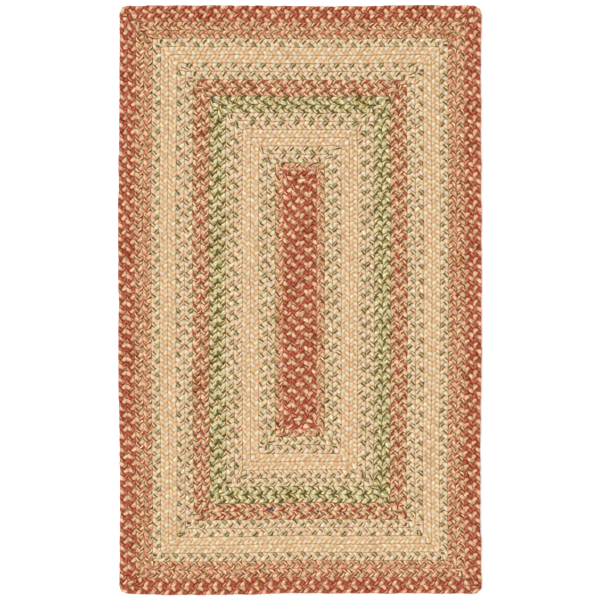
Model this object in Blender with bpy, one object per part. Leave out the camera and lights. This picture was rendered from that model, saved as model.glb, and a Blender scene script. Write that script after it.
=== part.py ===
"""Braided rug: twenty-two rounds of flat three-strand braid, each joined end to end into a closed
rounded rectangle and laced flat against the round inside it.

Units are metres. +Z is up, +Y runs along the rug, and the origin is on the floor under its middle.
"""

import math

import bmesh
import bpy

# Driving dimensions
ROUNDS = 22
BRAID_PITCH = 0.021  # from one braid's middle to the next one's
BRAID_GAP = 0.0003  # between two rounds, where the lacing draws them together
CORE_HALF = 0.2865  # half the length of the line that the first round is folded along
THICKNESS = 0.011
TURN_RADIUS = 0.006  # how tightly a braid turns each corner
RIM_RADIUS = 0.016  # the wider outer turn of the outermost round
TURN_STEPS = 3  # edges around a corner

HALF_WIDTH = ROUNDS * BRAID_PITCH
HALF_LENGTH = CORE_HALF + ROUNDS * BRAID_PITCH
BRAID_HALF = (BRAID_PITCH - BRAID_GAP) / 2
SLIT_SHARE = 0.4  # a turn's radius on the narrow loops at the core, as a share of their half width
CREASE_DEGREES = 50  # faces that meet more sharply than this keep a crease

# One side of the braid's cross-section, from the underside up to the middle of the top: how far each
# point stands from the braid's middle and from the floor. The ridge is the crown of one plait column.
HALF_SECTION = (
    # out, up
    (0.0072, 0.0),  # edge of the flat underside
    (BRAID_HALF, 0.0030),  # lower side
    (BRAID_HALF, 0.0078),  # upper side
    (0.0084, 0.0102),  # shoulder
    (0.0052, THICKNESS),  # ridge
)
MIDDLE_DIP = 0.0098  # height of the shallow furrow between the two plait columns

# How far hand lacing has drawn the edges out of a true rectangle, outwards from the middle. An inner
# round has its share of it. The first column is the place along the edge.
SIDE_DRIFT = (
    # y, left edge, right edge
    (-0.75, -0.0020, 0.0010),
    (-0.60, -0.0035, -0.0015),
    (-0.40, -0.0035, -0.0040),
    (-0.20, 0.0010, 0.0000),
    (0.00, 0.0000, 0.0005),
    (0.20, 0.0020, 0.0000),
    (0.40, -0.0010, -0.0015),
    (0.60, -0.0030, -0.0020),
    (0.75, -0.0020, 0.0010),
)
END_DRIFT = (
    # x, near end, far end
    (-0.47, 0.0000, 0.0000),
    (-0.30, 0.0035, 0.0010),
    (-0.15, 0.0020, 0.0010),
    (0.00, -0.0020, -0.0010),
    (0.15, -0.0005, -0.0010),
    (0.30, -0.0015, 0.0020),
    (0.47, 0.0000, 0.0000),
)
STATION_MARGIN = 0.007  # a drift station nearer a corner than this lies in the turn and is left out

# The colour bands, from the core out to the rim.
BANDS = (
    # yarn, rounds
    ("rust", 2),
    ("mixed", 1),
    ("flecked", 2),
    ("cream", 2),
    ("flecked", 2),
    ("green", 2),
    ("red", 2),
    ("flecked", 2),
    ("cream", 2),
    ("flecked", 1),
    ("mixed", 2),
    ("rust", 2),
)
YARN_COLOURS = {
    # linear red, green and blue of each braid seen from a few steps away
    "rust": (0.52, 0.20, 0.11),
    "mixed": (0.50, 0.30, 0.17),
    "flecked": (0.56, 0.44, 0.27),
    "cream": (0.78, 0.62, 0.42),
    "green": (0.30, 0.26, 0.12),
    "red": (0.50, 0.24, 0.14),
}
YARN_ROUGHNESS = 0.9


def remove_scene_objects():
    for thing in list(bpy.data.objects):
        bpy.data.objects.remove(thing)


def yarn_material(name):
    material = bpy.data.materials.new(f"{name}_braid")
    material.use_nodes = True
    shader = material.node_tree.nodes["Principled BSDF"]
    shader.inputs["Base Color"].default_value = (*YARN_COLOURS[name], 1.0)
    shader.inputs["Roughness"].default_value = YARN_ROUGHNESS
    shader.inputs["Metallic"].default_value = 0.0
    return material


def drift(table, place, column):
    """The offset at a place along an edge, on straight lines between the table's rows."""
    for near, far in zip(table, table[1:]):
        if place <= far[0]:
            share = (place - near[0]) / (far[0] - near[0])
            return near[column] + share * (far[column] - near[column])
    return table[-1][column]


def laced(x, y):
    """Where a point of the true rectangle lies once the edges have drifted."""
    side = drift(SIDE_DRIFT, y, 1 if x < 0 else 2)
    end = drift(END_DRIFT, x, 1 if y < 0 else 2)
    return x * (1 + side / HALF_WIDTH), y * (1 + end / HALF_LENGTH)


def corner(centre_x, centre_y, radius, start):
    """Points around one corner, anticlockwise from the angle start."""
    steps = (start + math.pi / 2 * i / TURN_STEPS for i in range(TURN_STEPS + 1))
    return [(centre_x + radius * math.cos(a), centre_y + radius * math.sin(a)) for a in steps]


def round_outline(half_x, half_y, radius, side_stations, end_stations):
    """A rounded rectangle, anticlockwise from its right-hand side, with a point at each station."""
    inner_x, inner_y = half_x - radius, half_y - radius
    return [
        *((half_x, y) for y in side_stations),
        *corner(inner_x, inner_y, radius, 0.0),
        *((x, half_y) for x in reversed(end_stations)),
        *corner(-inner_x, inner_y, radius, math.pi / 2),
        *((-half_x, y) for y in reversed(side_stations)),
        *corner(-inner_x, -inner_y, radius, math.pi),
        *((x, -half_y) for x in end_stations),
        *corner(inner_x, -inner_y, radius, 1.5 * math.pi),
    ]


def braid_section():
    """The whole cross-section, anticlockwise from the inner edge of the underside."""
    outer = list(HALF_SECTION)
    inner = [(-out, up) for out, up in reversed(HALF_SECTION)]
    return [*outer, (0.0, MIDDLE_DIP), *inner]


def turn_radius(number, out, half_x):
    """A braid's turn, wider on the outside of the rim and no wider than the core's loops allow."""
    radius = TURN_RADIUS
    if number == ROUNDS and out > 0:
        radius += (RIM_RADIUS - TURN_RADIUS) * out / BRAID_HALF
    return min(radius, SLIT_SHARE * half_x)


def stations(table, reach):
    return [row[0] for row in table if abs(row[0]) < reach - STATION_MARGIN]


def braid_round(number, material):
    """One closed braid: its cross-section's points each drawn round the rectangle and bridged."""
    middle_x = (number - 0.5) * BRAID_PITCH
    middle_y = CORE_HALF + middle_x
    side_stations = stations(SIDE_DRIFT, middle_y - BRAID_HALF)
    end_stations = stations(END_DRIFT, middle_x - BRAID_HALF)
    mesh_maker = bmesh.new()
    loops = []
    for out, up in braid_section():
        half_x, half_y = middle_x + out, middle_y + out
        radius = turn_radius(number, out, half_x)
        outline = round_outline(half_x, half_y, radius, side_stations, end_stations)
        verts = [mesh_maker.verts.new((*laced(x, y), up)) for x, y in outline]
        loops.append([mesh_maker.edges.new(pair) for pair in zip(verts, verts[1:] + verts[:1])])
    for near, far in zip(loops, loops[1:] + loops[:1]):
        bmesh.ops.bridge_loops(mesh_maker, edges=near + far)
    bmesh.ops.recalc_face_normals(mesh_maker, faces=mesh_maker.faces)
    mesh = bpy.data.meshes.new(f"round_{number:02d}")
    mesh_maker.to_mesh(mesh)
    mesh_maker.free()
    mesh.materials.append(material)
    mesh.shade_smooth()
    mesh.set_sharp_from_angle(angle=math.radians(CREASE_DEGREES))
    braid = bpy.data.objects.new(f"round_{number:02d}", mesh)
    bpy.context.scene.collection.objects.link(braid)
    return braid


def main():
    remove_scene_objects()
    materials = {name: yarn_material(name) for name in YARN_COLOURS}
    yarns = [yarn for yarn, rounds in BANDS for _ in range(rounds)]
    rug = bpy.data.objects.new("braided_rug", None)
    bpy.context.scene.collection.objects.link(rug)
    for number, yarn in enumerate(yarns, start=1):
        braid_round(number, materials[yarn]).parent = rug


main()
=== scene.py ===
import math

import bmesh
import bpy
import numpy as np
from mathutils import Matrix, Vector


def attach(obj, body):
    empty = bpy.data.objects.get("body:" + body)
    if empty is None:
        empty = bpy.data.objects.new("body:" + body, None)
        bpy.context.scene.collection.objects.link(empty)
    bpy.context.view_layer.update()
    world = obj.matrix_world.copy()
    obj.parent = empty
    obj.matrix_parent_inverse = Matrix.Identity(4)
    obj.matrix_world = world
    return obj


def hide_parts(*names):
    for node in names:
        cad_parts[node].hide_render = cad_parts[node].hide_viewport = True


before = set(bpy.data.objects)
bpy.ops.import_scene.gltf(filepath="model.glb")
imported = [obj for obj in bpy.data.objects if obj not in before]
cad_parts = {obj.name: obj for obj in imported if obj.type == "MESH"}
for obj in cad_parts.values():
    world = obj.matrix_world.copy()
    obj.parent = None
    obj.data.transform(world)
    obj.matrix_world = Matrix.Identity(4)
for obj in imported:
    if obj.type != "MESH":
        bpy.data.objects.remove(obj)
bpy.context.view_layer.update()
scene = bpy.context.scene

# ---- Rust braids: the core and the rim ---------------------------------------------------------
# The rug is flat three-strand plaits of soft wool-blend yarn, each joined end to end into a round
# and laced against the round inside it. In the rust ones a tan strand, a brick red strand and a red
# strand with a few tan yarns cross. The plait, its bend and its yarns are worked out here.

# The plait, as one repeat along +X, before each round stretches it to its own count.
REPEAT = 0.037
STRANDS = 3
STEPS = 12  # from ring to ring along one strand
SWING = 0.0078  # how far a strand's middle goes to each side, where it folds back
STRAIGHTNESS = 0.97  # from 0, a wave, to 1, a zigzag
LIFT = 0.0029  # how far a strand's middle goes up and down
STRAND_WIDTH = 0.0100
STRAND_HEIGHT = 0.0052
SECTION = (
    # across, up, how far round the strand: three points on top, two below
    (1.0, 0.0, 0.0),
    (0.86, 0.84, 0.125),
    (0.0, 1.0, 0.25),
    (-0.86, 0.84, 0.375),
    (-1.0, 0.0, 0.5),
    (-0.62, -0.9, 0.66),
    (0.62, -0.9, 0.84),
)
BULGE = 0.05  # a strand is fatter where it shows and thinner where others press on it
EDGE_TALL = 0.45  # how much taller it is where it folds back at the side of the plait
RISE_LEAD = math.radians(30)  # how early it has come up there
TILT = math.radians(12)  # how far it leans, like a shingle, on the next strand of its column
TILT_LAG = math.radians(25)  # how far past the plait's middle it starts to lean the other way
ROLL_TURNS = ((10, 80), (190, 260))  # where, in degrees of the repeat, a strand rolls half over
ROLL_START = 0.02  # how far it has rolled at the start, as a share of a turn
REPEAT_WELD = 0.00001  # points nearer than this, where two repeats meet, become one
YARN_MAP = "yarn"


def smooth_ramp(value, low, high):
    """How far a value is from low to high, with a soft start and end."""
    share = min(max((value - low) / (high - low), 0.0), 1.0)
    return share * share * (3 - 2 * share)


def strand_ring(maker, strand, step):
    """A strand's section at one step of its way through the plait, and how far it has rolled."""
    share = step / STEPS - strand / STRANDS
    turn = math.tau * share
    reach = STRAIGHTNESS * math.sin(turn)
    swing = SWING / math.asin(STRAIGHTNESS)
    drift = swing * STRAIGHTNESS * math.cos(turn) / math.sqrt(1 - reach * reach)
    rise = -LIFT * math.sin(2 * turn + RISE_LEAD * math.sin(turn) ** 2)
    place = Vector((REPEAT * step / STEPS, swing * math.asin(reach), rise))
    slope = Vector((REPEAT / math.tau, drift, -2 * LIFT * math.cos(2 * turn))).normalized()
    right = slope.cross(Vector((0, 0, 1))).normalized()
    section = Matrix((right, right.cross(slope), -slope)).transposed().to_4x4()
    tilt = TILT * math.sin(turn - TILT_LAG)
    bulge = 1 + BULGE * (2 * math.sin(2 * turn) ** 2 - 1)
    width = STRAND_WIDTH * bulge
    height = STRAND_HEIGHT * bulge * (1 + EDGE_TALL * math.sin(turn) ** 4)
    verts = bmesh.ops.create_circle(maker, segments=len(SECTION), radius=1)["verts"]
    for vert, (x, y, _) in zip(verts, SECTION):
        vert.co = (x * width / 2, y * height / 2, 0)
    bmesh.ops.transform(
        maker,
        matrix=Matrix.Translation(place) @ section @ Matrix.Rotation(tilt, 4, "Z"),
        verts=verts,
    )
    degrees = 360 * (share % 1)
    rolled = math.floor(share) + sum(smooth_ramp(degrees, *ends) for ends in ROLL_TURNS) / 2
    return verts, rolled + ROLL_START


def plait_repeat():
    """One repeat of the plait, with each strand's faces given its own material index. In the yarn map,
    U runs along the plait, one to a repeat, and V runs around a strand."""
    maker = bmesh.new()
    yarn_map = maker.loops.layers.uv.new(YARN_MAP)
    for strand in range(STRANDS):
        rings = [strand_ring(maker, strand, step) for step in range(STEPS + 1)]
        where = {
            vert: (step / STEPS, place[2], rolled)
            for step, (verts, rolled) in enumerate(rings)
            for vert, place in zip(verts, SECTION)
        }
        loops = [list({edge for vert in verts for edge in vert.link_edges}) for verts, _ in rings]
        for near, far in zip(loops, loops[1:]):
            for face in bmesh.ops.bridge_loops(maker, edges=near + far)["faces"]:
                face.material_index = strand
                face.smooth = True
                closes = {where[vert][1] for vert in face.verts} == {0, SECTION[-1][2]}
                for loop in face.loops:
                    along, around, rolled = where[loop.vert]
                    around = 1 if closes and around == 0 else around
                    loop[yarn_map].uv = (along, around + rolled)
    bmesh.ops.recalc_face_normals(maker, faces=maker.faces)
    mesh = bpy.data.meshes.new("plait_repeat")
    maker.to_mesh(mesh)
    maker.free()
    return mesh


one_repeat = plait_repeat()


def straight_plait(count):
    """So many repeats in a row, as one mesh."""
    row = bpy.data.objects.new("row", one_repeat)
    scene.collection.objects.link(row)
    array = row.modifiers.new("repeats", "ARRAY")
    array.count = count
    array.use_relative_offset = False
    array.use_constant_offset = True
    array.constant_offset_displace = (REPEAT, 0, 0)
    array.use_merge_vertices = True
    array.merge_threshold = REPEAT_WELD
    array.offset_u = 1
    depsgraph = bpy.context.evaluated_depsgraph_get()
    evaluated = row.evaluated_get(depsgraph)
    mesh = bpy.data.meshes.new_from_object(evaluated, depsgraph=depsgraph)
    bpy.data.objects.remove(row)
    return mesh


# The rounds: their lines, and how hand lacing has pressed the plaits and drawn them in and out.
PITCH = 0.021  # from one braid's middle to the next one's
CORE_HALF = 0.2865  # half the length of the line that the first round is folded along
THICKNESS = 0.011
TURN_RADIUS = 0.006
SLIT_SHARE = 0.4  # no round turns wider than this share of its half width
RIM_ROUND = 22
RIM_RADIUS = 0.021  # the wider outer turn of the outermost round
HALF_WIDTH = RIM_ROUND * PITCH
HALF_LENGTH = CORE_HALF + HALF_WIDTH
EASE = 0.025  # how far from a corner a plait's two sides start to lead or lag each other
SHOULDER = 0.22  # how far the plait's rounded sides fill out towards square ones
PRESS_REACH = 0.0109  # the lacing presses the outer sides of a plait flat towards this
PRESS_HEIGHT = 0.0057  # and the floor and wear press its two faces towards this
PRESS_POWER = 12  # how sharply it flattens there
SIDE_DRIFT = (
    # y, left edge, right edge
    (-0.75, -0.0020, 0.0010),
    (-0.60, -0.0035, -0.0015),
    (-0.40, -0.0035, -0.0040),
    (-0.20, 0.0010, 0.0000),
    (0.00, 0.0000, 0.0005),
    (0.20, 0.0020, 0.0000),
    (0.40, -0.0010, -0.0015),
    (0.60, -0.0030, -0.0020),
    (0.75, -0.0020, 0.0010),
)
END_DRIFT = (
    # x, near end, far end
    (-0.47, 0.0000, 0.0000),
    (-0.30, 0.0035, 0.0010),
    (-0.15, 0.0020, 0.0010),
    (0.00, -0.0020, -0.0010),
    (0.15, -0.0005, -0.0010),
    (0.30, -0.0015, 0.0020),
    (0.47, 0.0000, 0.0000),
)
WAVES = 20  # that cross each other to make the rug's lumps
WAVE_LENGTHS = (0.7, 1.8)  # the shortest and the longest, as shares of a lump's width
LUMPS = (
    # about how far across, how far they push, random seed
    (0.016, 0.00042, 3),
    (0.070, 0.00045, 4),
)
CREST_SHARE = 0.875  # how far along its repeat the first strand crests in the outer column
NEXT_STRETCH = 61.7  # each round is plaited from another stretch of the yarns
END_WELD = 0.00005  # as REPEAT_WELD, where a round's two ends are joined
SIDE_MAP = "aside"  # how far each point is from its plait's middle, by which shade is painted along the seams


def middle_line(number):
    """Half the width and length of the line a round's middle follows, and how tightly it turns."""
    half_x = (number - 0.5) * PITCH
    return half_x, CORE_HALF + half_x, min(TURN_RADIUS, SLIT_SHARE * half_x)


def round_length(number):
    """How long that line is."""
    half_x, half_y, radius = middle_line(number)
    return 4 * (half_x + half_y - 2 * radius) + math.tau * radius


def bent(number, along, inward):
    """Where points of a straight plait lie in its round. Along runs anticlockwise seen from above,
    from the middle of the left side, and inward is towards the rug's middle."""
    half_x, half_y, radius = middle_line(number)
    own_radius = np.minimum(TURN_RADIUS, SLIT_SHARE * np.maximum(half_x - inward, 0))
    if number == RIM_ROUND:
        own_radius += (RIM_RADIUS - TURN_RADIUS) * np.maximum(-inward, 0) / (PITCH / 2)
    # Each of the four sides is a straight run, measured from its middle, and the turn after it.
    runs = np.array([half_y, half_x, half_y, half_x]) - radius
    starts = np.concatenate([[0], np.cumsum(2 * runs + math.pi / 2 * radius)])
    along = (along + runs[0]) % starts[-1]
    side = np.clip(np.searchsorted(starts, along, side="right") - 1, 0, 3)
    run = runs[side]
    own_run = np.where(side % 2 == 0, half_y, half_x) - inward - own_radius
    off = np.where(side % 2 == 0, half_x, half_y) - inward
    past = along - starts[side] - run
    # Near a corner the outer side of the plait has further to go than the inner one.
    ease = np.minimum(EASE, run)
    near_corner = np.clip((np.abs(past) - run + ease) / ease, 0, 1)
    placed = np.sign(past) * (np.abs(past) + (own_run - run) * near_corner)
    turn = np.clip((past - run) / radius, 0, math.pi / 2)
    turning = past > run
    x = np.where(turning, own_radius - off - own_radius * np.cos(turn), -off)
    y = np.where(turning, -own_run - own_radius * np.sin(turn), -placed)
    angle = side * math.pi / 2
    return x * np.cos(angle) - y * np.sin(angle), x * np.sin(angle) + y * np.cos(angle)


def pressed(across, height):
    """A plait's section squared off by its neighbours, the floor and the feet on it."""
    tiny = 0.0001  # at the very middle of the section there is nothing to divide by
    a, h = (across / PRESS_REACH) ** 2, (height / PRESS_HEIGHT) ** 2
    swell = 1 + SHOULDER * 4 * a * h / (a + h + tiny) ** 2
    limits = ((across * swell, PRESS_REACH), (height * swell, PRESS_HEIGHT))
    return [v / (1 + np.abs(v / most) ** PRESS_POWER) ** (1 / PRESS_POWER) for v, most in limits]


def laced(x, y):
    """Where points of the true rectangle lie once hand lacing has drawn the edges in and out."""
    side_rows, end_rows = np.array(SIDE_DRIFT), np.array(END_DRIFT)
    left, right = (np.interp(y, side_rows[:, 0], side_rows[:, i]) for i in (1, 2))
    near, far = (np.interp(x, end_rows[:, 0], end_rows[:, i]) for i in (1, 2))
    side = np.where(x < 0, left, right)
    end = np.where(y < 0, near, far)
    return x * (1 + side / HALF_WIDTH), y * (1 + end / HALF_LENGTH)


def lumps(points, across, push, seed):
    """The smooth uneven shift that soft yarn and hand lacing give each point."""
    draw = np.random.default_rng(seed)
    heading = draw.uniform(0, math.tau, WAVES)
    rate = math.tau / (across * draw.uniform(*WAVE_LENGTHS, WAVES))
    start = draw.uniform(0, math.tau, (WAVES, 3))
    wave = points[:, :1] * rate * np.cos(heading) + points[:, 1:2] * rate * np.sin(heading)
    return push * np.sqrt(2 / WAVES) * np.sin(wave[:, :, None] + start).sum(axis=1)


def lay_round(number, repeat, crest, materials, slips=(0, 0, 0, 0), turned=0.0):
    """Bends a plait into one round of the rug. Repeat is about how long one repeat of it is, and crest
    is how far past the middle of the left side the first strand crests in the outer column. Slips are
    the repeats that lacing has pushed it along at the middle of the left, near, right and far side,
    and turned is how far round its strands are rolled."""
    length = round_length(number)
    count = round(length / repeat)
    mesh = straight_plait(count)
    points = np.empty(len(mesh.vertices) * 3)
    mesh.vertices.foreach_get("co", points)
    points = points.reshape(-1, 3)
    along = crest + (points[:, 0] / REPEAT - CREST_SHARE) * length / count
    along += repeat * np.interp(along / length * 4 % 4, range(5), (*slips, slips[0]))
    inward, height = pressed(points[:, 1], points[:, 2])
    mesh.attributes.new(SIDE_MAP, "FLOAT", "POINT").data.foreach_set("value", np.abs(inward))
    x, y = bent(number, along, inward)
    points = np.stack([*laced(x, y), height + THICKNESS / 2], axis=1)
    points += sum(lumps(points, *row) for row in LUMPS)
    points[:, 2] = np.maximum(points[:, 2], 0)
    mesh.vertices.foreach_set("co", points.reshape(-1))
    yarn_places = np.empty(len(mesh.loops) * 2)
    mesh.uv_layers[YARN_MAP].data.foreach_get("uv", yarn_places)
    yarn_places += np.tile((number * NEXT_STRETCH, turned), len(mesh.loops))
    mesh.uv_layers[YARN_MAP].data.foreach_set("uv", yarn_places)
    maker = bmesh.new()
    maker.from_mesh(mesh)
    ends = [vert for vert in maker.verts if vert.is_boundary]
    bmesh.ops.remove_doubles(maker, verts=ends, dist=END_WELD)
    maker.to_mesh(mesh)
    maker.free()
    for material in materials:
        mesh.materials.append(material)
    braid = bpy.data.objects.new(f"braid_{number:02d}", mesh)
    scene.collection.objects.link(braid)
    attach(braid, "root")
    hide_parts(f"round_{number:02d}")
    return braid


def linear(colour):
    """A colour's sRGB hex value as the linear values that a shader takes."""
    parts = [int(colour[i : i + 2], 16) / 255 for i in (1, 3, 5)]
    return (*[c / 12.92 if c <= 0.04045 else ((c + 0.055) / 1.055) ** 2.4 for c in parts], 1.0)


def fill(node, inputs):
    """Sets or links a node's inputs, given in their own order or by name or number. A node given as
    an input stands for its first output."""
    pairs = inputs.items() if isinstance(inputs, dict) else enumerate(inputs)
    for key, value in pairs:
        source = value.outputs[0] if isinstance(value, bpy.types.Node) else value
        if isinstance(source, bpy.types.NodeSocket):
            node.id_data.links.new(source, node.inputs[key])
        else:
            node.inputs[key].default_value = source


def add(tree, kind, inputs=(), **settings):
    """Adds a node with its settings, and sets or links its inputs."""
    node = tree.nodes.new(f"ShaderNode{kind}")
    for name, value in settings.items():
        setattr(node, name, value)
    fill(node, inputs)
    return node


# The yarns. Rates are in one repeat of the plait, which is 37 mm.
YARNS = 10  # around one strand, each about 2.5 mm wide
WANDER = 0.24  # how far round the strand they shift, as a share of a turn
WANDER_RATE = 0.8  # a shift in about 46 mm
YARN_SHADE = 0.4  # how much lighter or darker one yarn is than another
YARN_RATE = 2.3  # which changes in about 16 mm
LOBE_RATE = 1.7  # a change of shade in about 22 mm, so one for each lobe that shows
SHADE_DRIFT = 0.3
HUE_DRIFT = 0.045  # as a share of the colour circle
PLY_TURNS = 9  # a yarn's twist, one turn in about 4 mm
PLY_SHADE = 0.08
FUZZ = 1.2  # how much loose fibres lighten and darken a yarn
FUZZ_ALONG = 7.0  # one fibre is too fine to show, so they are drawn as tufts about 5 mm long
FUZZ_ACROSS = 0.7  # and 3 to 4 mm wide: tufts in the width of one yarn
WANDER_STEP = 31.7  # each material takes its patterns from a stretch so many repeats further on
LOBE_STEP = 47.3
HUE_STEP = 73.9
YARN_STEP = 17.3  # as each yarn of a strand does
GROOVE_WIDTH = 0.6  # of half a yarn, from 0 in the groove to 1 on the yarn's crown
GROOVE_SHADE = 0.8
HOLLOW_HEIGHTS = (0.0026, 0.0052)  # from the plait's middle level: a deep hollow, and open to light
HOLLOW_SHADE = 0.9
SEAM_REACH = (0.0092, 0.0106)  # from the plait's middle line: open to light, and in the seam
SEAM_SHADE = 0.7
SHADE_TINT = "#E9DDBC"  # painted shade: in grooves, hollows and seams the colour is multiplied by this, deeper and browner
SHADE_DEPTH = 1.8  # the power that darkens a colour there, as painted shade
MIX_FIRST, MIX_SECOND, MIX_RESULT = 6, 7, 2  # where a Mix node keeps its colours
YARN_RELIEF = 0.0009  # how far a yarn's crown stands above its grooves
PLY_RELIEF = 0.2  # as shares of that
FUZZ_RELIEF = 0.25
WOOL = {
    # matt, with the faint pale sheen of loose fibres
    "Roughness": 0.9,
    "Specular IOR Level": 0.15,
    "Sheen Weight": 0.1,
    "Sheen Roughness": 0.5,
    "Sheen Tint": linear("#F2DDB8"),
}


def painted_light_share(tree, crown, shade_and_fuzz_easing):
    """How much light a place gets, painted into its colour as shade: less in the groove between two
    yarns, in the hollow where strands cross and, where the shade is eased, in the seam between two
    plaits."""
    place = add(tree, "SeparateXYZ", [add(tree, "TexCoord").outputs["Object"]])
    height = add(tree, "Math", [place.outputs["Z"], THICKNESS / 2], operation="SUBTRACT")
    height = add(tree, "Math", [height], operation="ABSOLUTE")
    aside = add(tree, "Attribute", attribute_name=SIDE_MAP).outputs["Fac"]
    shades = (
        # what it goes by, from, to, the light at each
        (crown, 0.0, GROOVE_WIDTH, 1 - GROOVE_SHADE * (1 - shade_and_fuzz_easing), 1.0),
        (height, *HOLLOW_HEIGHTS, 1 - HOLLOW_SHADE * (1 - shade_and_fuzz_easing), 1.0),
        (aside, *SEAM_REACH, 1.0, 1 - SEAM_SHADE if shade_and_fuzz_easing else 1.0),
    )
    light = None
    for row in shades:
        part = add(tree, "MapRange", row, interpolation_type="SMOOTHSTEP")
        light = part if light is None else add(tree, "Math", [light, part], operation="MULTIPLY")
    return light


def strand_material(name, seed, outer, inner, shade_and_fuzz_easing=0.0):
    """Wool-blend yarns side by side in a strand: matt, furry, with a groove between each two, shown by
    relief and by painted shade. Outer and inner list the yarns that show in the outer and the inner
    column of the plait, from the side that the round comes from. The last argument, from 0 to 1, is
    how much the painted shade in its grooves and hollows and the mottling of its loose fibres are
    eased;
    above 0, shade is also painted along the seam between two plaits."""
    material = bpy.data.materials.new(name)
    material.use_nodes = True
    tree = material.node_tree
    place = add(tree, "SeparateXYZ", [add(tree, "UVMap", uv_map=YARN_MAP)])
    along = place.outputs["X"]

    # Which yarn it is: they wander round the strand, and each has its colour in the chart.
    shift = add(tree, "Math", [along, WANDER_STEP * seed], operation="ADD")
    shift = add(tree, "TexNoise", {"W": shift, "Scale": WANDER_RATE}, noise_dimensions="1D")
    shift = add(tree, "Math", [shift, 0.5], operation="SUBTRACT")
    shift = add(tree, "Math", [shift, WANDER], operation="MULTIPLY")
    around = add(tree, "Math", [place.outputs["Y"], shift], operation="ADD")
    around = add(tree, "Math", [around], operation="FRACT")
    yarn = add(tree, "Math", [around, YARNS], operation="MULTIPLY")
    chart = add(tree, "ValToRGB", [around])
    ramp = chart.color_ramp
    ramp.interpolation = "CONSTANT"
    ramp.elements.remove(ramp.elements[1])
    for index, colour in enumerate([*outer, *inner]):
        stop = ramp.elements.new(index / YARNS) if index else ramp.elements[0]
        stop.color = linear(colour)

    # How light it is: its own shade, loose fibres, its twist, and the drift from lobe to lobe.
    own = add(tree, "Math", [yarn], operation="FLOOR")
    own = add(tree, "Math", [own, YARN_STEP, along], operation="MULTIPLY_ADD")
    own = add(tree, "TexNoise", {"W": own, "Scale": YARN_RATE}, noise_dimensions="1D")
    fibre = add(tree, "Math", [along, FUZZ_ALONG], operation="MULTIPLY")
    fibre = add(tree, "Math", [yarn, FUZZ_ACROSS, fibre], operation="MULTIPLY_ADD")
    fibre = add(tree, "TexNoise", {"W": fibre, "Scale": 1.0}, noise_dimensions="1D")
    twist = add(tree, "Math", [along, PLY_TURNS, yarn], operation="MULTIPLY_ADD")
    twist = add(tree, "Math", [twist, math.tau], operation="MULTIPLY")
    twist = add(tree, "Math", [twist], operation="SINE")
    lobe = add(tree, "Math", [along, LOBE_STEP * seed], operation="ADD")
    lobe = add(tree, "TexNoise", {"W": lobe, "Scale": LOBE_RATE}, noise_dimensions="1D")
    patterns = (
        # pattern, how strong it is, its middle value
        (own, YARN_SHADE, 0.5),
        (fibre, FUZZ * (1 - shade_and_fuzz_easing), 0.5),
        (twist, PLY_SHADE, 0.0),
        (lobe, SHADE_DRIFT, 0.5),
    )
    tone = None
    for pattern, strength, middle in patterns:
        part = add(tree, "Math", [pattern, strength, 1 - strength * middle], operation="MULTIPLY_ADD")
        tone = part if tone is None else add(tree, "Math", [tone, part], operation="MULTIPLY")
    hue = add(tree, "Math", [along, HUE_STEP * seed], operation="ADD")
    hue = add(tree, "TexNoise", {"W": hue, "Scale": LOBE_RATE}, noise_dimensions="1D")
    hue = add(tree, "Math", [hue, HUE_DRIFT, 0.5 - HUE_DRIFT / 2], operation="MULTIPLY_ADD")
    dyed = add(tree, "HueSaturation", {"Hue": hue, "Value": tone, "Color": chart})

    # Painted shade: its low places are drawn darker and browner, as little light reaches them.
    # Its relief is round yarns with their twist and fibres.
    crown = add(tree, "Math", [yarn, 0.5], operation="PINGPONG")
    crown = add(tree, "Math", [crown, 2.0], operation="MULTIPLY")
    light = painted_light_share(tree, crown, shade_and_fuzz_easing)
    shaded_colour = add(tree, "Gamma", [dyed, SHADE_DEPTH])
    tinting = {"Factor": 1.0, MIX_FIRST: shaded_colour, MIX_SECOND: linear(SHADE_TINT)}
    shaded_colour = add(tree, "Mix", tinting, data_type="RGBA", blend_type="MULTIPLY").outputs[MIX_RESULT]
    colours = {"Factor": light, MIX_FIRST: shaded_colour, MIX_SECOND: dyed}
    colour = add(tree, "Mix", colours, data_type="RGBA").outputs[MIX_RESULT]
    relief = add(tree, "Math", [crown], operation="SQRT")
    relief = add(tree, "Math", [twist, PLY_RELIEF, relief], operation="MULTIPLY_ADD")
    relief = add(tree, "Math", [fibre, FUZZ_RELIEF, relief], operation="MULTIPLY_ADD")
    normal = add(tree, "Bump", {"Strength": 1.0, "Distance": YARN_RELIEF, "Height": relief})
    fill(tree.nodes["Principled BSDF"], {"Base Color": colour, "Normal": normal, **WOOL})
    return material


TAN = "#E6BD9B"
HONEY = "#DBB588"
BRICK = "#C0664E"
WINE = "#9A472C"
ROSE = "#D29576"
DUST = "#CFA280"
RUST_YARNS = (
    # material, seed, outer yarns, inner yarns
    ("tan_yarn", 1, [TAN, DUST, TAN, TAN, HONEY], [TAN, HONEY, TAN, DUST, TAN]),
    ("brick_yarn", 2, [BRICK, WINE, BRICK, WINE, BRICK], [BRICK, WINE, BRICK, BRICK, WINE]),
    ("brick_and_tan_yarn", 3, [BRICK, WINE, ROSE, WINE, BRICK], [WINE, ROSE, WINE, DUST, BRICK]),
)
rust_strands = [strand_material(*row) for row in RUST_YARNS]
RUST_ROUNDS = (
    # round, repeat, crest, slips
    (1, 0.0359, 0.0173, (0.1, 0, 0.1, 0)),
    (2, 0.0364, -0.0038, (0, 0, 0.22, 0)),
    (21, 0.0355, 0.0127, (0, -0.25, -0.35, 0.36)),
    (22, 0.0361, -0.0076, (0, -0.33, -0.43, -0.31)),
)
for number, repeat, crest, slips in RUST_ROUNDS:
    lay_round(number, repeat, crest, rust_strands, slips)

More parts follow.
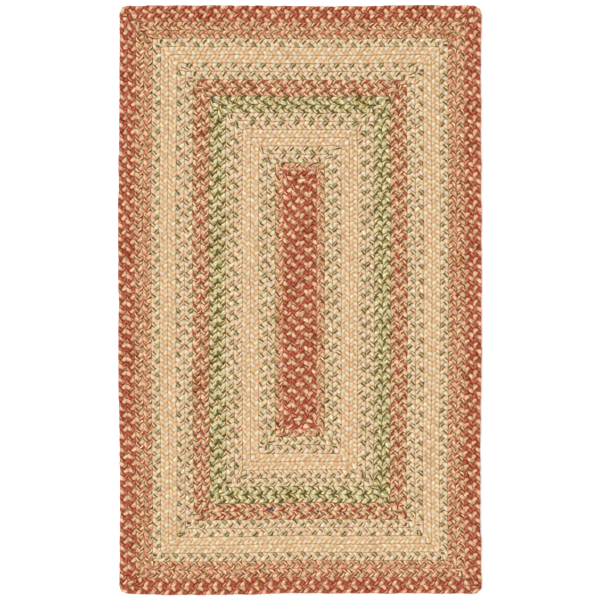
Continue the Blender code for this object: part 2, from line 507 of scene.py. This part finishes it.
# ---- Mixed braids ------------------------------------------------------------------------------
# A narrow band beside each rust one, where the plait passes from rust to tan: a tan strand, one of
# red and tan yarns, more faded in two of the rounds, and one of olive and tan yarns. In a few places
# here and in the red braids a stray navy yarn shows.
OLIVE = "#8C793B"
MOSS = "#625020"
BARK = "#855A33"
CREAM = "#DDCBAD"
NAVY = "#3B424F"
PLUM = "#85787E"
MIXED_YARNS = (
    # material, seed, outer yarns, inner yarns
    ("tan_yarn_mixed", 4, [TAN, TAN, HONEY, TAN, TAN], [TAN, TAN, TAN, DUST, TAN]),
    ("red_and_tan_yarn", 5, [TAN, BRICK, DUST, WINE, TAN], [DUST, BRICK, TAN, WINE, BARK]),
    ("faded_red_yarn", 19, [DUST, WINE, ROSE, DUST, TAN], [DUST, TAN, BRICK, ROSE, TAN]),
    ("olive_and_tan_yarn", 6, [TAN, OLIVE, TAN, MOSS, TAN], [BARK, TAN, OLIVE, TAN, MOSS]),
    ("navy_yarn", 18, [NAVY, NAVY, PLUM, NAVY, NAVY], [NAVY, PLUM, NAVY, PLUM, NAVY]),
)
tan, red, faded_red, olive, navy = (strand_material(*row) for row in MIXED_YARNS)
NAVY_SPOTS = {
    # round: x, y and how far the yarn shows
    12: [(-0.0738, -0.5339, 0.0070)],
    13: [(0.0430, -0.5405, 0.0060), (0.0560, -0.5405, 0.0060)],
    20: [(-0.0807, -0.7000, 0.0045)],
}


def show_navy(braid, spots):
    """At each spot the strand on top shows the navy yarn."""
    mesh = braid.data
    mesh.materials.append(navy)
    for x, y, reach in spots:
        near = [face for face in mesh.polygons if (face.center.xy - Vector((x, y))).length < reach]
        top = max(near, key=lambda face: face.center.z).material_index
        for face in near:
            if face.material_index == top:
                face.material_index = len(mesh.materials) - 1


MIXED_ROUNDS = (
    # round, repeat, crest, its red strand, slips, turned
    (3, 0.0370, 0.0020, faded_red, (0, 0, 0.3, 0), 0.0),
    (19, 0.0375, -0.0137, faded_red, (0, 0.45, 0, 0.3), 0.5),
    (20, 0.0369, 0.0143, red, (0, -0.1, 0, 0), 0.0),
)
for number, repeat, crest, own_red, slips, turned in MIXED_ROUNDS:
    strands = [tan, own_red, olive]
    braid = lay_round(number, repeat, crest, strands, slips, turned)
    if number in NAVY_SPOTS:
        show_navy(braid, NAVY_SPOTS[number])

# ---- Flecked braids ----------------------------------------------------------------------------
# Pale bands: a strand of cream, shell and mint yarns, a peach strand and one whose dark yarns show as
# short slanting flecks, bolder in two of the rounds. In the outermost round the last two strands
# change places. Their painted shade in grooves and hollows and their fibre mottling are eased, and
# shade is painted along their seams.
SHELL = "#DFCAB8"
MINT = "#DAD1A9"
PEACH = "#E3C5A1"
CLAY = "#C29468"
SAGE = "#BCAA7C"
# eases the painted shade in grooves and hollows and the fibre mottling, and paints shade along the
# seams
FLECKED_EASING = 0.5
PALE_CHART = [SHELL, CREAM, CREAM, SHELL, CREAM], [CREAM, CREAM, MINT, CREAM, MINT]
FLECKED_YARNS = (
    # material, seed, outer yarns, inner yarns
    ("pale_yarn", 7, *PALE_CHART),
    ("peach_yarn", 8, [CREAM, PEACH, HONEY, PEACH, PEACH], [CREAM, HONEY, PEACH, PEACH, HONEY]),
    ("fleck_yarn", 9, [PEACH, OLIVE, PEACH, MOSS, PEACH], [PEACH, MOSS, SAGE, OLIVE, PEACH]),
    ("bold_fleck_yarn", 17, [PEACH, MOSS, SAGE, MOSS, CREAM], [PEACH, BARK, PEACH, CLAY, PEACH]),
)
pale, peach, fleck, bold_fleck = (strand_material(*row, FLECKED_EASING) for row in FLECKED_YARNS)
FLECKED_ROUNDS = (
    # round, repeat, crest, strands
    (4, 0.0375, 0.0000, [pale, peach, fleck]),
    (5, 0.0369, 0.0074, [pale, peach, fleck]),
    (8, 0.0374, -0.0150, [pale, peach, bold_fleck]),
    (9, 0.0372, -0.0079, [pale, peach, fleck]),
    (14, 0.0370, -0.0143, [pale, peach, fleck]),
    (15, 0.0374, 0.0038, [pale, peach, bold_fleck]),
    (18, 0.0363, -0.0204, [pale, fleck, peach]),
)
for number, repeat, crest, strands in FLECKED_ROUNDS:
    lay_round(number, repeat, crest, strands)

# ---- Cream braids ------------------------------------------------------------------------------
# The plainest bands, with the most eased painted shade and fibre mottling and with shade painted
# along their seams: a pale strand, one of peach and honey yarns, and one of honey yarns with thin clay
# lines.
# eases the painted shade and fibre mottling further, and paints shade along the seams
CREAM_EASING = 0.7
CREAM_YARNS = (
    # material, seed, outer yarns, inner yarns
    ("pale_yarn_cream", 7, *PALE_CHART),
    ("peach_yarn_cream", 8, [PEACH, HONEY, HONEY, PEACH, HONEY], [PEACH, HONEY, HONEY, HONEY, PEACH]),
    ("lined_yarn", 10, [CLAY, HONEY, PEACH, HONEY, CLAY], [CLAY, HONEY, HONEY, PEACH, CLAY]),
)
cream_strands = [strand_material(*row, CREAM_EASING) for row in CREAM_YARNS]
CREAM_ROUNDS = (
    # round, repeat, crest
    (6, 0.0379, 0.0158),
    (7, 0.0372, -0.0109),
    (16, 0.0374, 0.0132),
    (17, 0.0366, 0.0074),
)
for number, repeat, crest in CREAM_ROUNDS:
    lay_round(number, repeat, crest, cream_strands)

# ---- Green braids ------------------------------------------------------------------------------
# Two rounds inside the red ones, with the sharpest zigzag of the rug: a strand of mint yarns, one of
# olive, leaf and moss yarns, and one of straw yarns with a little leaf, olive and bark.
STRAW = "#E2CC9A"
LEAF = "#918E56"
GREEN_YARNS = (
    # material, seed, outer yarns, inner yarns
    ("mint_yarn", 11, [MINT, MINT, CREAM, MINT, MINT], [MINT, CREAM, MINT, MINT, CREAM]),
    ("olive_yarn", 12, [OLIVE, LEAF, MOSS, LEAF, MINT], [LEAF, MINT, LEAF, MOSS, MINT]),
    ("bark_yarn", 13, [LEAF, STRAW, OLIVE, STRAW, STRAW], [STRAW, BARK, STRAW, LEAF, STRAW]),
)
green_strands = [strand_material(*row) for row in GREEN_YARNS]
GREEN_ROUNDS = (
    # round, repeat, crest, slips
    (10, 0.0375, 0.0153, (0, -0.2, 0.4, 0.15)),
    (11, 0.0372, -0.0003, (0, -0.1, 0.25, 0.15)),
)
for number, repeat, crest, slips in GREEN_ROUNDS:
    lay_round(number, repeat, crest, green_strands, slips)

# ---- Red braids --------------------------------------------------------------------------------
# Two rounds laced outside the green ones: a strand of peach and tan yarns, one of brick red, rose and
# tan yarns and one of olive, bark and tan yarns, with stray navy yarns at the near end.
RED_YARNS = (
    # material, seed, outer yarns, inner yarns
    ("peach_yarn_red", 14, [TAN, PEACH, TAN, PEACH, TAN], [TAN, PEACH, TAN, DUST, PEACH]),
    ("brick_yarn_red", 15, [TAN, BRICK, WINE, ROSE, TAN], [DUST, WINE, TAN, BRICK, DUST]),
    ("olive_yarn_red", 16, [TAN, BARK, TAN, OLIVE, TAN], [OLIVE, DUST, MOSS, DUST, OLIVE]),
)
red_strands = [strand_material(*row) for row in RED_YARNS]
RED_ROUNDS = (
    # round, repeat, crest, slips
    (12, 0.0372, -0.0193, (0, 0.5, 0.2, -0.2)),
    (13, 0.0374, -0.0005, (0, -0.35, -0.5, -0.75)),
)
for number, repeat, crest, slips in RED_ROUNDS:
    braid = lay_round(number, repeat, crest, red_strands, slips)
    show_navy(braid, NAVY_SPOTS[number])

# ---- Floor -------------------------------------------------------------------------------------
# Matt white studio paper under the rug. It gives off a little light of its own, so that it stays
# white and the rug's shadow hardly shows.
FLOOR_HALF = 8.0
FLOOR_DROP = 0.0005
maker = bmesh.new()
bmesh.ops.create_grid(maker, x_segments=1, y_segments=1, size=FLOOR_HALF)
floor_mesh = bpy.data.meshes.new("floor")
maker.to_mesh(floor_mesh)
maker.free()
white = bpy.data.materials.new("white_floor")
white.use_nodes = True
PAPER = {
    "Base Color": linear("#F6F6F6"),
    "Roughness": 0.9,
    "Emission Color": linear("#FFFFFF"),
    "Emission Strength": 0.25,
}
fill(white.node_tree.nodes["Principled BSDF"], PAPER)
floor_mesh.materials.append(white)
floor = bpy.data.objects.new("floor", floor_mesh)
floor.location.z = -FLOOR_DROP
scene.collection.objects.link(floor)

# ---- Light and camera --------------------------------------------------------------------------
# Soft studio light from all round with one large lamp high on the left, and a camera straight above.
ROUND_LIGHT = 0.89
LAMP_LIGHT = 1.92
LAMP_SPREAD = math.radians(30)
LAMP_TILT = math.radians(38)  # from straight overhead
LAMP_HEADING = math.radians(35)
world = bpy.data.worlds.new("studio")
world.use_nodes = True
fill(world.node_tree.nodes["Background"], {"Color": (1, 1, 1, 1), "Strength": ROUND_LIGHT})
scene.world = world
lamp = bpy.data.lights.new("lamp", "SUN")
lamp.angle = LAMP_SPREAD
lamp.energy = LAMP_LIGHT
lamp_object = bpy.data.objects.new("lamp", lamp)
lamp_object.rotation_euler = (0, -LAMP_TILT, -LAMP_HEADING)
scene.collection.objects.link(lamp_object)

CAMERA_HEIGHT = 5.0
CAMERA_Y = -0.0007  # the picture's middle is just below the rug's
PIXEL = 0.002545  # what one pixel of the picture covers at the rug's top
PICTURE = 600
camera = bpy.data.cameras.new("camera")
camera.sensor_width = 36
camera.lens = camera.sensor_width * (CAMERA_HEIGHT - THICKNESS) / (PICTURE * PIXEL)
camera_object = bpy.data.objects.new("camera", camera)
camera_object.location = (0, CAMERA_Y, CAMERA_HEIGHT)
scene.collection.objects.link(camera_object)
scene.camera = camera_object
scene.view_settings.view_transform = "Standard"  # pale wool and the white floor keep their colours
